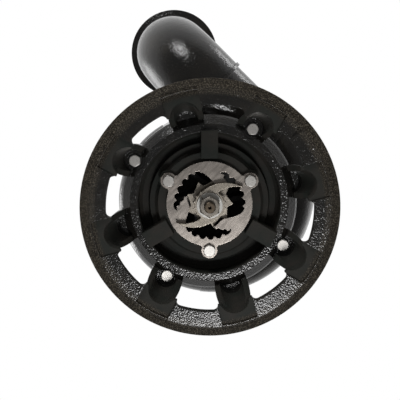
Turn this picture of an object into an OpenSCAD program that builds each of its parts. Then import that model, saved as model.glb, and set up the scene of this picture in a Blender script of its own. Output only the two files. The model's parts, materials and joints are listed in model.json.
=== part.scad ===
// Submersible sewage grinder pump, seen from below in use as a ring foot, a serrated cutter plate
// and a two-armed rotary cutter under a spiral casing, with an upward discharge elbow and a motor above.
// The origin is the centre of the foot's flat face, +Z is the shaft, and the discharge leaves towards +X.

/* [Base casting] */
// Radius of the round foot
foot_r = 112.5; // [108:0.5:120]
// Thickness of the foot ring
foot_h = 9; // [7:0.5:12]
// Width of the sloping rim around the foot
bevel_w = 8.5; // [6:0.5:10]
// Rise of the sloping rim
bevel_h = 3.2; // [2:0.1:5]
// Radius of the windows' outer edge
window_r = 90.3; // [88:0.1:92]
// Height of the base casting, from the floor to the pump casing
base_h = 52; // [50:0.5:56]
// Thickness of the flange
flange_t = 14; // [13:0.5:15]
// Radius of the flange
flange_r = 79.5; // [79:0.1:82]
// Radius of the flange's flat band
flange_flat_r = 71.3; // [70:0.1:73]
// Radius of the dish inside the flange
dish_r = 64; // [62:0.5:65]
// Rise of the dish's ceiling above the flange's upper face
dish_rise = 6; // [4:0.5:7]
// Wall above the dish
dish_wall = 7; // [6:0.5:9]
// Radius of the boss that carries the cutter plate
boss_r = 46.4; // [45:0.1:48]
// Radius of the boss's upper step
boss_step_r = 54; // [52:0.5:56]
// Radius of the throat through the boss
throat_r = 34; // [33:0.1:35]
// Number of legs between the foot and the flange
leg_count = 8; // [8:4:8]
// Half-width of a leg at the foot
leg_foot_r = 16.2; // [15.5:0.1:17]
// Half-width of a leg at the flange
leg_top_r = 14.4; // [13:0.1:15]
// Half-width of a leg's channel at the foot
channel_foot_r = 13.6; // [12:0.1:14]
// Half-width of a leg's channel at the bolt
channel_top_r = 9.3; // [8.5:0.1:10]
// Width of a rib across the dish
rib_w = 15; // [12:0.5:18]
// Distance that the ribs reach below the flange
rib_drop = 7; // [5:0.5:8]

/* [Cutter plate] */
// Radius of the cutter plate
plate_r = 38.5; // [38:0.1:40]
// Thickness of the cutter plate
plate_t = 5.5; // [4.5:0.1:6]
// Distance of the plate's lower face below the flange
plate_drop = 5; // [4:0.1:5.5]
// Radius of the circle of the plate's three ears
ear_circle_r = 42.1; // [41.5:0.1:43]
// Radius of an ear
ear_r = 7.2; // [7:0.1:8]
// Radius of the bottoms of the saw teeth
valley_r = 32.2; // [31.8:0.1:32.8]
// Radius of the tips of the saw teeth
tooth_tip_r = 29.4; // [28.5:0.1:30]
// Radius of the inner noses between the openings
nose_r = 18.1; // [17.5:0.1:19]

/* [Rotary cutter] */
// Radius of the cutter's arm tips
arm_tip_r = 33.8; // [32:0.1:35]
// Radius of the arms' outer edge
arm_outer_r = 31.4; // [30:0.1:33]
// Radius of the arms' inner edge
arm_inner_r = 29.05; // [28:0.05:30]
// Thickness of the arms
arm_t = 6.5; // [5:0.1:7]
// Radius of the cutter's hub
hub_r = 13.2; // [12.6:0.1:14]
// Gap between the turning arms and the plate
cut_gap = 0.4; // [0.3:0.05:0.6]
// Tip radius of the toothed ring behind the plate
shred_r = 21.5; // [20:0.1:24]
// Thickness of the toothed ring
shred_t = 8; // [6:0.5:9]

/* [Casing] */
// Outer radius of the spiral at its tongue
spiral_start_r = 80; // [79:0.5:82]
// Outer radius of the spiral at its throat
spiral_end_r = 104; // [100:0.5:106]
// Height of the spiral's middle above the base casting
spiral_rise = 32; // [31:0.5:34]
// Half-height of the spiral
spiral_half_h = 22.5; // [21:0.5:23]
// Height of the casing, from its lower to its upper face
casing_h = 60; // [60:0.5:62]
// Wall of the casing
casing_wall = 6; // [5:0.5:7]
// Outer radius of the discharge pipe
pipe_r = 35; // [33:0.5:36]
// Bore radius of the discharge pipe
pipe_bore_r = 27; // [25:0.5:28]
// Distance of the pipe from the shaft
pipe_y = 71.3; // [70:0.1:73]
// Height of the pipe's axis above the base casting
pipe_rise = 34; // [33:0.5:35]
// Distance of the riser from the shaft, along the pipe
riser_x = 118.8; // [115:0.1:125]
// Radius of the bend's middle line
bend_r = 40; // [38:0.5:42]
// Radius of the outlet collar
collar_r = 44; // [42:0.5:46]
// Height of the outlet face above the base casting
outlet_rise = 154; // [141:1:166]
// Height of the outlet collar
collar_h = 26; // [24:0.5:32]
// Radius of the outlet's threaded hole
outlet_r = 29.6; // [29:0.1:31]
// Depth of the outlet's threaded hole
outlet_depth = 22; // [18:0.5:24]

/* [Impeller] */
// Radius of the impeller
impeller_r = 60; // [56:0.5:62]
// Number of vanes
vane_count = 6; // [4:1:7]
// Thickness of a vane
vane_t = 4.5; // [4:0.1:6]

/* [Motor] */
// Outer radius of the motor housing
motor_r = 60; // [58:0.5:62]
// Wall of the motor housing
motor_wall = 7; // [6:0.5:8]
// Length of the motor housing
motor_len = 152; // [148:1:170]
// Length of the stator core
stator_len = 76; // [60:1:80]
// Radial width of the stator core
stator_w = 20.5; // [19:0.5:22]
// Air gap between rotor and stator
air_gap = 0.5; // [0.4:0.05:0.8]
// Height of the top cover
cover_h = 51; // [48:1:60]

/* [Handle] */
// Distance between the handle's posts
handle_span = 76; // [70:1:84]
// Height of the handle above the cover
handle_rise = 46; // [40:1:55]
// Radius of the handle's bar
handle_r = 5.5; // [5:0.1:7]

/* [Cable gland] */
// Radius of the cable that the gland takes
cable_r = 4.6; // [4:0.1:5]

/* [Fasteners] */
// Nominal radius of the small bolts' shanks
bolt_r = 3; // [2.9:0.05:3.1]
// Size across flats of the small bolts' heads
bolt_flats = 10; // [9.5:0.1:10.5]
// Height of the small bolts' heads
bolt_head_h = 4; // [3.5:0.1:4.5]
// Depth that the base bolts reach into the casing
bolt_bite = 9; // [8:0.5:9.5]
// Nominal radius of the large screws' shanks
screw_r = 4; // [3.8:0.1:4.2]

/* [Hidden] */

// Fineness of circles, the overrun of every cut, and the clearances
$fn = 64;
cut = 1;
fit_gap = 0.03;
hole_gap = 0.3;
turn_gap = 0.3;
fillet = 1.5;

// Angles about the shaft, counted from the discharge direction
bolt_turn = 75;
leg_turn = 30;
ear_turn = 105;
rib_turn = 45;
cutter_turn = 107;
opening_turn = 48;
tongue_turn = 15;
throat_turn = -270;

// Heights above the floor
flange_z = base_h - flange_t;
dish_z = base_h + dish_rise;
rib_z = flange_z - rib_drop;
plate_z = flange_z - plate_drop;
spiral_z = base_h + spiral_rise;
casing_top = base_h + casing_h;
pipe_z = base_h + pipe_rise;
outlet_z = base_h + outlet_rise;

// Base casting
pad_r = foot_r - bevel_w;
foot_inner_r = window_r - leg_top_r / 3;
seat_depth = 3;
bolt_seat_z = flange_z + seat_depth;
bolt_circle_r = 77;
bolt_count = 4;
lean_share = 0.112;
recess_lean_share = 0.184;
recess_r = 9;
spot_r = 6.8;
notch_w = 32;
notch_depth = 2.5;
lip_w = 0.8;
ledge_w = 2.4;
ledge_depth = 1.2;
window_corner = 4;
leg_half_turn = 10.4;
window_half = 180 / leg_count - leg_half_turn;
spigot_wall = 5;
spigot_r = dish_r + spigot_wall;
spigot_z = dish_z + dish_wall;
seat_z = plate_z + plate_t;
rib_gap = 2.5;
rib_in_r = plate_r + rib_gap;
rib_root = 2;
rib_out_r = dish_r + rib_root;
lug_edge = 1.4;
lug_r = ear_r + lug_edge;
bolt_len = flange_t - seat_depth + bolt_bite;
plate_bolt_len = 16;
ring_groove_r = 1.6;
ring_z = dish_z - ring_groove_r;

// Cutter stack on the shaft's lower end, from the nut upwards
hub_z = plate_z - cut_gap - arm_t;
shred_z = seat_z + cut_gap;
washer_t = 2.2;
washer_r = 11.5;
washer_z = hub_z - washer_t;
nut_h = 8.4;
nut_flats = 17;
nut_z = washer_z - nut_h;
thread_r = 5;
thread_end = nut_z - thread_r;
cutter_shaft_r = 7;
flat_share = 0.8;
hub_neck_wall = 4.5;
hub_neck_r = cutter_shaft_r + hub_neck_wall;

// Impeller and casing
impeller_z = shred_z + shred_t;
impeller_gap = 1;
vane_z = spigot_z + impeller_gap;
shroud_t = 5;
impeller_rise = 9;
impeller_top = spiral_z + impeller_rise;
impeller_bore_r = 8;
impeller_hub_r = 15;
key_w = 5;
key_len = 24;
spiral_root_r = 45;
spiral_arcs = 4;
arc_turn = (tongue_turn - throat_turn) / spiral_arcs;
tube_growth = 0.5;
arc_lap = 2;
web_share = 0.85;
arc_growth = (spiral_end_r - spiral_start_r - (spiral_arcs - 1) * tube_growth) / spiral_arcs;
arc_centre_r = arc_growth / 2 / sin(arc_turn / 2);
drum_r = spiral_start_r - fillet;
chamber_top = casing_top - 2 * casing_wall;
back_r = 52;
back_gap = 3;
back_z = impeller_top + back_gap;
throat_pipe_r = spiral_half_h + fillet;
throat_y = spiral_end_r + fillet - throat_pipe_r;
joint_x = 70;
screw_hole_h = casing_top - spiral_z - spiral_half_h + casing_wall - fillet;

// Oil chamber and shaft seals
oil_r = 56;
oil_flange_r = 66;
oil_flange_t = 8;
oil_chamber_h = 46;
oil_top = casing_top + oil_chamber_h;
oil_floor_rise = 4;
oil_floor_z = casing_top + oil_floor_rise;
lug_circle_r = 70;
oil_lug_r = 9;
seal_shaft_r = 10;
seal_seat_r = 16;
seal_seat_t = 8;
seal_face_gap = 0.05;
lower_seat_drop = 7;
lower_seat_z = oil_floor_z - lower_seat_drop;
seal_ring_t = 6;
seal_ring_r = 15;
upper_seat_drop = 13;
upper_seat_z = oil_top - upper_seat_drop;
bracket_t = 8;
motor_z = oil_top + bracket_t;

// Bearings: bore radius, outer radius, width, and the ball circle between them
lower_bore_r = 10;
lower_outer_r = 23.5;
lower_w = 14;
lower_z = motor_z - 2;
upper_bore_r = 8.5;
upper_outer_r = 20;
upper_w = 12;
ball_count = 8;
ball_gap = 0.15;

// Motor
motor_inner_r = motor_r - motor_wall;
rotor_r = motor_inner_r - stator_w - air_gap;
motor_top = motor_z + motor_len;
stator_rise = 32;
stator_z = motor_z + stator_rise;
stator_inner_r = rotor_r + air_gap;
winding_h = 15;
winding_gap = 4;
winding_in_r = rotor_r + winding_gap;
winding_wall_gap = 3;
winding_out_r = motor_inner_r - winding_wall_gap;
rotor_z = stator_z - 2;
rotor_overhang = 4;
rotor_len = stator_len + rotor_overhang;
end_ring_t = 6;
rotor_shaft_r = 14;
housing_lug_out = 5;
housing_lug_circle_r = motor_r + housing_lug_out;
housing_lug_r = 7;
housing_lug_h = 11;
housing_foot_t = 8;
upper_bracket_t = 8;
upper_bearing_drop = 15.5;
upper_z = motor_top - upper_bearing_drop;
cover_z = motor_top + upper_bracket_t;
cover_top = cover_z + cover_h;
cover_wall = 5;
cover_flange_t = 8;
dome_inset = 7;
dome_r = motor_r - dome_inset;
dome_round = 18;
cover_screw_circle_r = motor_r;
top_lug_r = 6.5;

// Handle and cable gland
post_h = 4;
gland_x = -30;
gland_thread_r = 10;
gland_hex = 27;
gland_hex_h = 7;
gland_pad_h = 3;

// Shared functions and shapes

function arc(x, y, r, from, to, steps) =
    [for (i = [0:steps]) let (at = from + (to - from) * i / steps) [x + r * cos(at), y + r * sin(at)]];

function polar(r, a) = [r * cos(a), r * sin(a)];

module tube(r_out, r_in, h) {
    difference() {
        cylinder(r = r_out, h = h);
        translate([0, 0, -cut])
            cylinder(r = r_in, h = h + 2 * cut);
    }
}

module around(count, r, turn) {
    for (i = [0:count - 1])
        rotate(turn + i * 360 / count)
            translate([r, 0, 0])
                children();
}

// A hexagon whose end at z = 0 is chamfered
module hexagon(flats, h) {
    chamfer_run_share = 1.73;
    end_r_share = 0.48;
    intersection() {
        cylinder(r = flats / 2 / cos(30), h = h, $fn = 6);
        cylinder(r1 = flats * end_r_share, r2 = flats * end_r_share + h * chamfer_run_share, h = h);
    }
}

// A hexagon bolt that is put in from below: its head ends at z = 0
module bolt_from_below(r, length) {
    translate([0, 0, -bolt_head_h])
        hexagon(bolt_flats, bolt_head_h);
    cylinder(r = r, h = length);
}

// A socket screw that is put in from above: its head stands on z = 0
module socket_screw(r, length) {
    head_share = 1.625;
    socket_share = 0.96;
    head_r = r * head_share;
    difference() {
        union() {
            cylinder(r = head_r, h = 2 * r);
            translate([0, 0, -length])
                cylinder(r = r, h = length + r);
        }
        translate([0, 0, r])
            cylinder(r = r * socket_share, h = r + cut, $fn = 6);
    }
}

// An O-ring, round in section
module o_ring(ring_r, section_r) {
    rotate_extrude()
        translate([ring_r, 0])
            circle(r = section_r, $fn = 32);
}

// Base casting

function leg_x(z) = bolt_circle_r + (bolt_seat_z - z) * lean_share;

// A cone that leans outwards as it goes down, from x = top_x at height top to the floor
module leaning_cone(top, top_x, share, r_top, r_floor) {
    lean = atan(share);
    translate([top_x, 0, top])
        rotate([0, 180 - lean, 0])
            cylinder(r1 = r_top, r2 = r_floor, h = (top + 2 * cut) / cos(lean));
}

// The legs lean out from the flange to the foot and are cut back to the shape of a cone inside
module legs() {
    inner_top_r = flange_r - leg_foot_r / 4;
    roof_r = bolt_circle_r + leg_top_r;
    difference() {
        intersection() {
            around(leg_count, 0, leg_turn)
                leaning_cone(base_h + leg_top_r, leg_x(base_h + leg_top_r), lean_share,
                             leg_top_r, leg_foot_r);
            rotate_extrude()
                polygon([[0, 0], [pad_r, 0], [pad_r, foot_h], [roof_r + leg_foot_r / 3, foot_h],
                    [roof_r, base_h - 2 * seat_depth], [roof_r - seat_depth, base_h - seat_depth],
                    [flange_r, base_h], [0, base_h]]);
        }
        translate([0, 0, foot_h])
            cylinder(r1 = window_r, r2 = inner_top_r, h = flange_z - foot_h);
        translate([0, 0, -cut])
            cylinder(r = window_r, h = foot_h + 2 * cut);
        translate([0, 0, flange_z - cut])
            cylinder(r = inner_top_r, h = base_h);
    }
}

// The hollow of a leg without a bolt: it runs up beside the flange and ends in a small lobe
module recess() {
    top = flange_z + recess_r;
    top_x = leg_x(0) - top * recess_lean_share;
    intersection() {
        leaning_cone(top, top_x, recess_lean_share, recess_r, channel_foot_r);
        translate([0, 0, -2 * cut])
            cylinder(r = foot_r, h = flange_z + 2 * seat_depth + 2 * cut);
    }
}

module foot_ring() {
    rotate_extrude()
        polygon([[foot_inner_r, 0], [pad_r, 0], [foot_r, bevel_h], [foot_r, foot_h - fillet],
            [foot_r - fillet, foot_h], [foot_inner_r, foot_h]]);
}

// The dished plate with its flange, boss and spigot
module dish() {
    step_z = seat_z + (dish_z - seat_z) / 2;
    rotate_extrude()
        polygon([[throat_r, seat_z], [boss_r, seat_z], [boss_r, step_z - 2 * fillet],
            [boss_r + 2 * fillet, step_z], [boss_step_r, step_z], [boss_step_r + fillet, dish_z],
            [dish_r - 2 * fillet, dish_z], [dish_r, dish_z - 2 * fillet],
            [dish_r, flange_z + fillet / 2], [dish_r + fillet / 2, flange_z],
            [flange_flat_r, flange_z], [flange_r - fillet, flange_z + 2 * seat_depth],
            [flange_r, base_h - 2 * seat_depth], [flange_r, base_h],
            [spigot_r, base_h], [spigot_r, spigot_z], [throat_r, spigot_z]]);
}

// One window's outline: a ring sector with rounded outer corners
module window() {
    in_r = foot_inner_r - cut;
    corner_turn = asin(window_corner / (window_r - window_corner));
    left = window_half - corner_turn;
    corner = polar(window_r - window_corner, left);
    points = concat([polar(in_r, -window_half), [corner[0], -corner[1]] + polar(window_corner, -90 - left)],
        arc(corner[0], -corner[1], window_corner, -90 - left, -left, 6),
        arc(0, 0, window_r, -left, left, 8),
        arc(corner[0], corner[1], window_corner, left, 90 + left, 6),
        [polar(in_r, window_half)]);
    translate([0, 0, -cut])
        linear_extrude(foot_h + 2 * cut)
            polygon(points);
}

// The recess under one leg, with the thin lip and the ledge outside it
module notch() {
    intersection() {
        translate([dish_r, -notch_w / 2, -cut])
            cube([pad_r - dish_r, notch_w, notch_depth + cut]);
        cylinder(r = pad_r - lip_w, h = 3 * notch_depth, center = true);
    }
    intersection() {
        translate([dish_r, -notch_w / 2, -cut])
            cube([foot_r - dish_r, notch_w, ledge_depth + cut]);
        translate([0, 0, -2 * cut])
            tube(pad_r + ledge_w, pad_r + fit_gap, 2 * foot_h);
    }
}

module base_casting() {
    color("#26272a")
        difference() {
            union() {
                difference() {
                    union() {
                        foot_ring();
                        legs();
                    }
                    around(leg_count / 2, 0, leg_turn)
                        recess();
                }
                dish();
                around(3, 0, rib_turn)
                    translate([rib_in_r, -rib_w / 2, rib_z])
                        cube([rib_out_r - rib_in_r, rib_w, dish_z + fillet - rib_z]);
                around(3, ear_circle_r, ear_turn)
                    translate([0, 0, seat_z])
                        cylinder(r = lug_r, h = dish_z + fillet - seat_z);
            }
            around(leg_count, 0, leg_turn + 180 / leg_count)
                window();
            around(leg_count, 0, leg_turn)
                notch();
            around(bolt_count, 0, bolt_turn)
                leaning_cone(flange_z + fillet, leg_x(flange_z + fillet), lean_share,
                             channel_top_r, channel_foot_r);
            around(bolt_count, bolt_circle_r, bolt_turn) {
                cylinder(r = spot_r, h = bolt_seat_z);
                cylinder(r = bolt_r + hole_gap, h = base_h + cut);
            }
            around(3, ear_circle_r, ear_turn)
                translate([0, 0, seat_z - cut])
                    cylinder(r = bolt_r + fit_gap, h = plate_bolt_len + cut);
            translate([0, 0, ring_z - ring_groove_r])
                tube(spigot_r + cut, spigot_r - 2 * ring_groove_r, 2 * ring_groove_r);
        }
}

module base_bolts() {
    color("#b9b7b0")
        around(bolt_count, bolt_circle_r, bolt_turn)
            translate([0, 0, bolt_seat_z])
                bolt_from_below(bolt_r, bolt_len);
}

module base_o_ring() {
    color("#1b1b1b")
        translate([0, 0, ring_z])
            o_ring(spigot_r - ring_groove_r + fit_gap, ring_groove_r - fit_gap);
}

// Cutter plate

// The inner edge between two openings, as a smooth swing from a nose out to the teeth
swing_power_share = 1.3;
swing_short = 0.6;
function swing(s) = let (q = pow(s, swing_power_share))
    nose_r + (valley_r - swing_short - nose_r) * (3 * q * q - 2 * q * q * q);

// The hook and the steps back to the next nose, each at a share of a third of a turn
hook_shares = [0.842, 0.867, 0.802, 0.797, 0.75, 0.697, 0.643, 0.604, 0.67];
hook_start_drop = 0.9;
hook_rise = 0.2;
hook_step = 3;
hook_floor_drop = 5.8;
nose_step = 2.6;
nose_end_step = 2.4;
hook_radii = [
    valley_r - hook_start_drop,
    tooth_tip_r + hook_rise,
    tooth_tip_r,
    tooth_tip_r - hook_step,
    tooth_tip_r - hook_step,
    tooth_tip_r - 2 * hook_step,
    tooth_tip_r - hook_floor_drop,
    nose_r + nose_step,
    nose_r + nose_end_step];

// One third of the opening's outline, as points at polar angles that run clockwise
module opening_outline() {
    third = 120;
    swing_start_share = -0.192;
    swing_share = 0.413;
    first_tooth_share = 0.246;
    tooth_step_share = 0.118;
    flank_share = 0.32;
    valley_share = 0.67;
    swing_steps = 12;
    tooth_count = 5;
    valley_slope = 0.1;
    points = [for (k = [0:2]) let (start = opening_turn - k * third) each concat(
        [for (i = [0:swing_steps])
            polar(swing(i / swing_steps), start - third * (swing_start_share + swing_share * i / swing_steps))],
        [for (i = [0:tooth_count - 1]) let (tooth = first_tooth_share + tooth_step_share * i) each [
            polar(tooth_tip_r, start - third * tooth),
            polar(valley_r - valley_slope, start - third * (tooth + tooth_step_share * flank_share)),
            polar(valley_r, start - third * (tooth + tooth_step_share * valley_share))]],
        [for (i = [0:len(hook_shares) - 1]) polar(hook_radii[i], start - third * hook_shares[i])])];
    polygon(points);
}

module plate_outline() {
    neck_share = 1.15;
    neck_start_share = 0.975;
    neck_end_shares = [0.35, 0.93];
    ear_neck = ear_r * neck_share;
    neck_start = plate_r * neck_start_share;
    neck_end = [ear_circle_r - ear_r * neck_end_shares[0], ear_r * neck_end_shares[1]];
    union() {
        circle(r = plate_r);
        around(3, ear_circle_r, ear_turn)
            circle(r = ear_r);
        around(3, 0, ear_turn)
            polygon([[0, -ear_neck], [neck_start, -ear_neck], [neck_end[0], -neck_end[1]],
                neck_end, [neck_start, ear_neck], [0, ear_neck]]);
    }
}

module cutter_plate() {
    color("#a29b90")
        translate([0, 0, plate_z])
            difference() {
                linear_extrude(plate_t)
                    plate_outline();
                translate([0, 0, -cut])
                    linear_extrude(plate_t + 2 * cut)
                        opening_outline();
                around(3, ear_circle_r, ear_turn)
                    translate([0, 0, -cut])
                        cylinder(r = bolt_r + hole_gap, h = plate_t + 2 * cut);
            }
}

module cutter_plate_bolts() {
    color("#c4c0b8")
        around(3, ear_circle_r, ear_turn)
            translate([0, 0, plate_z])
                bolt_from_below(bolt_r, plate_bolt_len);
}

// Rotary cutter

// The shaft's driving section: round with two flats
module flatted(r, h) {
    intersection() {
        cylinder(r = r, h = h);
        translate([-r * flat_share, -r, 0])
            cube([2 * r * flat_share, 2 * r, h]);
    }
}

// A sickle between two arcs that meet at the tip on +X
module arm() {
    outer_turn = 147.8;
    inner_turn = 131;
    cut_turns = [-123, -60, 4];
    tip = [arm_tip_r, 0];
    linear_extrude(arm_t)
        intersection() {
            difference() {
                translate(tip + polar(arm_outer_r, outer_turn))
                    circle(r = arm_outer_r);
                translate(tip + polar(arm_inner_r, inner_turn))
                    circle(r = arm_inner_r);
            }
            polygon(concat([[0, 0]], [for (turn = cut_turns) polar(2 * arm_outer_r, turn)]));
        }
}

// Small saw teeth around the hub, between the arms
module hub_teeth(count, root_r, tip_r, h) {
    rake_share = 0.75;
    linear_extrude(h)
        polygon([for (i = [0:count - 1])
            each [polar(root_r, 360 * i / count), polar(tip_r, 360 * (i + rake_share) / count)]]);
}

module rotary_cutter() {
    hub_tooth_count = 16;
    tooth_h_share = 0.8;
    color("#b3ab9e")
        rotate(cutter_turn)
            difference() {
                union() {
                    translate([0, 0, hub_z]) {
                        cylinder(r = hub_r, h = arm_t);
                        hub_teeth(hub_tooth_count, hub_r - fillet, hub_r + fillet, arm_t * tooth_h_share);
                        arm();
                        rotate(180)
                            arm();
                    }
                    translate([0, 0, hub_z])
                        cylinder(r = hub_neck_r, h = shred_z - hub_z);
                }
                translate([0, 0, hub_z - cut])
                    flatted(cutter_shaft_r + fit_gap, shred_z - hub_z + 2 * cut);
            }
}

module toothed_ring() {
    tooth_count = 9;
    tooth_depth = 5;
    color("#9c958a")
        rotate(cutter_turn)
            translate([0, 0, shred_z])
                difference() {
                    hub_teeth(tooth_count, shred_r - tooth_depth, shred_r, shred_t);
                    translate([0, 0, -cut])
                        flatted(cutter_shaft_r + fit_gap, shred_t + 2 * cut);
                }
}

module lock_washer() {
    split_w = washer_t / 2;
    color("#a8a49b")
        translate([0, 0, washer_z])
            difference() {
                tube(washer_r, thread_r + hole_gap, washer_t);
                translate([0, -split_w / 2, -cut])
                    cube([nut_flats, split_w, washer_t + 2 * cut]);
            }
}

module cutter_nut() {
    color("#bdb6aa")
        rotate(cutter_turn)
            translate([0, 0, nut_z])
                difference() {
                    hexagon(nut_flats, nut_h);
                    translate([0, 0, -cut])
                        cylinder(r = thread_r + fit_gap, h = nut_h + 2 * cut);
                }
}

// Spiral casing

// The spiral is drawn as a draughtsman would: a few arcs whose centres step around the shaft.
// Each arc's tube is a little thicker than the one before, and covers its end.
module spiral(wall) {
    for (k = [0:spiral_arcs - 1]) {
        start = tongue_turn - k * arc_turn;
        grown = (spiral_arcs - 1 - k) * tube_growth;
        tube_r = spiral_half_h - wall - grown;
        reach = spiral_start_r + arc_growth * (k + 0.5) + k * tube_growth - tube_r - wall;
        lap = k < spiral_arcs - 1 ? arc_lap : 0;
        translate(concat(polar(arc_centre_r, start - arc_turn / 2 - 90), [spiral_z]))
            rotate(start - arc_turn - lap)
                rotate_extrude(angle = arc_turn + lap)
                    union() {
                        translate([reach, 0])
                            circle(r = tube_r);
                        translate([spiral_root_r, -tube_r * web_share])
                            square([reach - spiral_root_r, 2 * tube_r * web_share]);
                    }
    }
}

// The diffuser from the spiral's end to the round pipe
module throat(r_start, r_end, run) {
    rise = pipe_z - spiral_z;
    shift = pipe_y - throat_y;
    long = norm([joint_x, shift, rise]);
    turn = atan2(shift, joint_x);
    tilt = acos(rise / long);
    translate([0, throat_y, spiral_z])
        rotate([0, tilt, turn])
            translate([0, 0, -run])
                cylinder(r1 = r_start, r2 = r_end, h = long + 2 * run);
}

module volute_casing() {
    color("#2a2b2e")
        difference() {
            union() {
                rotate_extrude()
                    polygon([[0, base_h], [drum_r, base_h], [drum_r, casing_top - 3 * fillet],
                        [drum_r - 2 * fillet, casing_top - fillet], [oil_flange_r, casing_top - fillet],
                        [oil_flange_r, casing_top + cut], [0, casing_top + cut]]);
                spiral(0);
                intersection() {
                    throat(throat_pipe_r, pipe_r, 4 * fillet);
                    translate([-foot_r, 0, 0])
                        cube([foot_r + joint_x, 2 * foot_r, 2 * casing_top]);
                }
                translate([joint_x - 2 * fillet, pipe_y, pipe_z])
                    rotate([0, 90, 0])
                        cylinder(r = pipe_r + fillet, h = 2 * fillet);
                around(bolt_count, bolt_circle_r, bolt_turn)
                    translate([0, 0, base_h + fillet / 2])
                        cylinder(r = channel_top_r - fillet, h = spiral_z - base_h);
                around(4, lug_circle_r, rib_turn)
                    translate([0, 0, spiral_z])
                        cylinder(r = oil_lug_r, h = casing_top + cut - spiral_z);
            }
            translate([0, 0, casing_top])
                linear_extrude(casing_top) {
                    circle(r = oil_flange_r + hole_gap);
                    around(4, lug_circle_r, rib_turn)
                        circle(r = oil_lug_r + hole_gap);
                }
            translate([0, 0, base_h - cut])
                cylinder(r = spigot_r + fit_gap, h = chamber_top - base_h + cut);
            spiral(casing_wall);
            throat(throat_pipe_r - casing_wall, pipe_bore_r, 3 * fillet);
            translate([0, 0, chamber_top - cut])
                cylinder(r = back_r + fit_gap, h = casing_top);
            around(bolt_count, bolt_circle_r, bolt_turn)
                translate([0, 0, base_h - cut])
                    cylinder(r = bolt_r + fit_gap, h = bolt_bite + 3 * cut);
            around(4, lug_circle_r, rib_turn)
                translate([0, 0, casing_top - screw_hole_h])
                    cylinder(r = screw_r + fit_gap, h = screw_hole_h + cut);
        }
}

// Discharge pipe, bend and riser with its threaded collar
module elbow_solid(r, over) {
    translate([joint_x - over, pipe_y, pipe_z])
        rotate([0, 90, 0])
            cylinder(r = r, h = riser_x - bend_r - joint_x + over);
    translate([riser_x - bend_r, pipe_y, pipe_z + bend_r])
        rotate([90, 0, 0])
            rotate_extrude(angle = -90)
                translate([bend_r, 0])
                    circle(r = r);
    translate([riser_x, pipe_y, pipe_z + bend_r])
        cylinder(r = r, h = outlet_z - pipe_z - bend_r - collar_h / 2 + over);
}

module discharge_elbow() {
    rim = 2 * fillet;
    color("#242528")
        difference() {
            union() {
                elbow_solid(pipe_r, 0);
                translate([riser_x, pipe_y, outlet_z - collar_h])
                    rotate_extrude()
                        polygon([[0, 0], [pipe_r, 0], [collar_r, rim], [collar_r, collar_h - fillet],
                            [collar_r - fillet, collar_h], [0, collar_h]]);
            }
            elbow_solid(pipe_bore_r, cut);
            translate([riser_x, pipe_y, outlet_z - collar_h])
                cylinder(r = pipe_bore_r, h = collar_h);
            translate([riser_x, pipe_y, outlet_z - outlet_depth])
                cylinder(r = outlet_r, h = outlet_depth + cut);
        }
}

// Impeller with curved vanes below its shroud
module vane() {
    vane_share = 0.62;
    bend = impeller_r * vane_share;
    intersection() {
        translate([bend + impeller_hub_r - vane_t, 0, 0])
            tube(bend, bend - vane_t, impeller_top - shroud_t / 2 - vane_z);
        translate([0, -impeller_r, 0])
            cube([impeller_r, impeller_r, impeller_top - vane_z]);
    }
}

module impeller() {
    color("#5b5c5e")
        difference() {
            union() {
                translate([0, 0, impeller_top - shroud_t])
                    cylinder(r = impeller_r, h = shroud_t);
                translate([0, 0, impeller_z])
                    cylinder(r = impeller_hub_r, h = impeller_top - impeller_z);
                intersection() {
                    around(vane_count, 0, 0)
                        translate([0, 0, vane_z])
                            vane();
                    cylinder(r = impeller_r, h = impeller_top);
                }
            }
            translate([0, 0, impeller_z - cut])
                cylinder(r = impeller_bore_r + fit_gap, h = impeller_top - impeller_z + 2 * cut);
            translate([0, -key_w / 2 - fit_gap, impeller_z - cut])
                cube([impeller_bore_r + key_w / 2 + fit_gap, key_w + 2 * fit_gap, impeller_top]);
        }
}

key_z = impeller_top - key_len - shroud_t;

module impeller_key() {
    color("#8d8a84")
        translate([impeller_bore_r - key_w / 2, -key_w / 2, key_z])
            cube([key_w, key_w, key_len]);
}

// Shaft, turned in steps from the cutter's thread up to the upper bearing
module shaft() {
    centre_shares = [0.4, 0.6];
    rotor_end = rotor_z + rotor_len + end_ring_t;
    color("#c9c6bf")
        difference() {
            union() {
                translate([0, 0, thread_end])
                    cylinder(r1 = thread_r - fillet / 2, r2 = thread_r, h = fillet / 2);
                translate([0, 0, thread_end + fillet / 2])
                    cylinder(r = thread_r, h = hub_z - thread_end + fillet);
                rotate(cutter_turn)
                    translate([0, 0, hub_z])
                        flatted(cutter_shaft_r, impeller_z - hub_z);
                translate([0, 0, impeller_z])
                    cylinder(r = impeller_bore_r, h = impeller_top - impeller_z);
                translate([0, 0, impeller_top])
                    cylinder(r = seal_shaft_r, h = lower_z + lower_w - impeller_top);
                translate([0, 0, lower_z + lower_w])
                    cylinder(r = rotor_shaft_r, h = rotor_end - lower_z - lower_w);
                translate([0, 0, rotor_end])
                    cylinder(r = seal_shaft_r + fillet, h = upper_z - rotor_end);
                translate([0, 0, upper_z])
                    cylinder(r = upper_bore_r, h = upper_w + fillet);
            }
            translate([impeller_bore_r - key_w / 2 - fit_gap, -key_w / 2 - fit_gap, key_z - fit_gap])
                cube([key_w, key_w + 2 * fit_gap, key_len + 2 * fit_gap]);
            translate([0, 0, thread_end - cut])
                cylinder(r1 = thread_r * centre_shares[0], r2 = 0, h = thread_r * centre_shares[1] + cut);
        }
}

// Shaft seals: one pair faces the pump, the other the motor, with a spring between them

module lower_seal_seat() {
    color("#d8d5cc")
        translate([0, 0, lower_seat_z])
            tube(seal_seat_r, seal_shaft_r + turn_gap, seal_seat_t);
}

module lower_seal_ring() {
    color("#3a3c40")
        translate([0, 0, lower_seat_z + seal_seat_t + seal_face_gap])
            tube(seal_ring_r, seal_shaft_r + fit_gap, seal_ring_t);
}

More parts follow.
